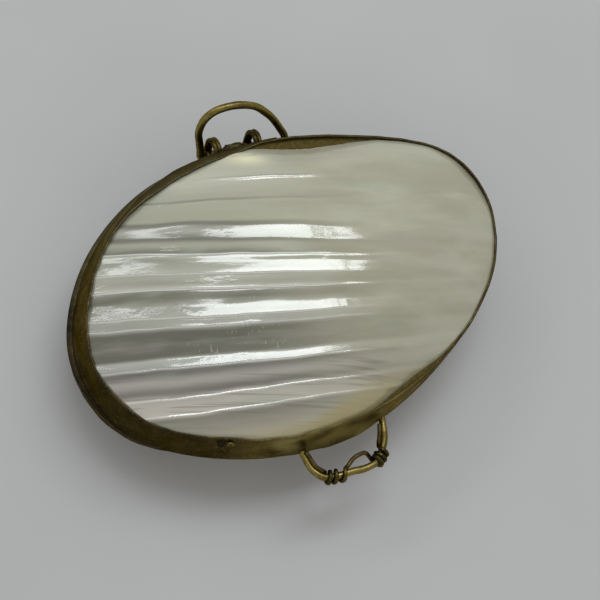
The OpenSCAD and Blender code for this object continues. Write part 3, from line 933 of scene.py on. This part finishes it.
PEARL = pearl_material("pearl_shell")
BAND = brass_material(
    "band_brass_aged", (0.100, 0.072, 0.028), (0.042, 0.028, 0.012), (0.31, 0.255, 0.095), band=True
)
BASE_BAND = brass_material(
    "base_brass_aged", (0.042, 0.033, 0.016), (0.016, 0.013, 0.008), (0.10, 0.08, 0.04), band=True
)
WIRE = brass_material(
    "wire_brass_aged", (0.29, 0.23, 0.070), (0.13, 0.10, 0.030), (0.58, 0.48, 0.19), 0.34, 0.25
)
DARK_WIRE = brass_material(
    "eye_brass_aged", (0.13, 0.095, 0.03), (0.045, 0.034, 0.014), (0.34, 0.27, 0.10), 0.42, 0.45
)
INSIDE = brass_material(
    "inside_brass", (0.34, 0.26, 0.10), (0.17, 0.12, 0.045), (0.55, 0.45, 0.20), 0.34, 0.15
)
CEMENT = cement_material()

shell_piece("lid_shell", True, LID_STATIONS, LID_RINGS, PEARL)
shell_piece("base_shell", False, BASE_STATIONS, BASE_RINGS, PEARL)
band_piece("lid_band", True, BAND, "lid")
band_piece("base_band", False, BASE_BAND, "base")
cement_line(CEMENT)
bail_piece(WIRE)
eye_piece("hinge_eye_left", -5.5, DARK_WIRE, 91)
eye_piece("hinge_eye_right", 1.4, DARK_WIRE, 95)
solder_hump_piece(BAND)
thumb_loop_piece(WIRE)
binding_piece(DARK_WIRE)
lid_pin_piece(WIRE)
# painted shade: a near-black blob stands for the inside of the pin's hole
pin_hole_piece(hole_shade_material())

for node, material in (
    ("base_cement", CEMENT), ("lid_cement", CEMENT), ("base_collar", INSIDE),
    ("hinge_barrel", DARK_WIRE), ("hinge_saddle", BASE_BAND),
):
    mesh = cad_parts[node].data
    mesh.materials.clear()
    mesh.materials.append(material)

# ---- floor, light and camera; places and sizes here are metres ----

LAMP_COLOUR = (0.91, 0.965, 1.0)
SKY_COLOUR, SKY_STRENGTH = (1.0, 0.975, 0.925), 0.45
FLOOR_HALF = 3.0
LENS, CAMERA_DISTANCE = 78, 0.197
CAMERA_AIM = Vector((-0.0022, -0.0036, 0.0171))
CAMERA_BACK = Vector((-0.3132, -0.2510, 0.9159))
CAMERA_RIGHT = Vector((0.9213, -0.3142, 0.2290))


def add_floor():
    """The table that the box lies on."""
    mesh = bpy.data.meshes.new("floor")
    corners = [(x * FLOOR_HALF, y * FLOOR_HALF, 0) for x, y in ((-1, -1), (1, -1), (1, 1), (-1, 1))]
    mesh.from_pydata(corners, [], [(0, 1, 2, 3)])
    mesh.materials.append(floor_material())
    floor = bpy.data.objects.new("floor", mesh)
    bpy.context.scene.collection.objects.link(floor)


def aim(thing, back, right):
    """Turn a lamp or a camera so that its -Z looks away from back and its X lies as near right as it can."""
    back = back.normalized()
    right = (right - back * right.dot(back)).normalized()
    up = back.cross(right)
    thing.rotation_mode = "QUATERNION"
    thing.rotation_quaternion = Matrix([[right[i], up[i], back[i]] for i in range(3)]).to_quaternion()


def add_light(name, centre, size, power):
    """A rectangular lamp that faces the origin, its length along X."""
    data = bpy.data.lights.new(name, "AREA")
    data.shape = "RECTANGLE"
    data.size, data.size_y = size
    data.energy = power
    data.color = LAMP_COLOUR
    lamp = bpy.data.objects.new(name, data)
    lamp.location = centre
    aim(lamp, Vector(centre), Vector((1, 0, 0)))
    bpy.context.scene.collection.objects.link(lamp)


def add_camera():
    """The camera, above the box and in front of it at the left."""
    data = bpy.data.cameras.new("camera")
    data.lens = LENS
    data.sensor_width = 36
    data.clip_start = 0.01
    camera = bpy.data.objects.new("camera", data)
    camera.location = CAMERA_AIM + CAMERA_BACK.normalized() * CAMERA_DISTANCE
    aim(camera, CAMERA_BACK, CAMERA_RIGHT)
    bpy.context.scene.collection.objects.link(camera)
    bpy.context.scene.camera = camera


def add_world():
    """Soft light from all round."""
    world = bpy.data.worlds.new("studio")
    world.use_nodes = True
    sky = world.node_tree.nodes["Background"]
    sky.inputs["Color"].default_value = (*SKY_COLOUR, 1)
    sky.inputs["Strength"].default_value = SKY_STRENGTH
    bpy.context.scene.world = world


add_floor()
add_light("window", (0.078, 0.205, 0.60), (0.38, 0.19), 1.12)
add_light("window_left", (-0.385, 0.54, 0.60), (0.55, 0.11), 0.62)
add_light("window_pane", (0.343, 0.205, 0.60), (0.072, 0.17), 0.19)
add_camera()
add_world()
bpy.context.scene.view_settings.view_transform = "Standard"
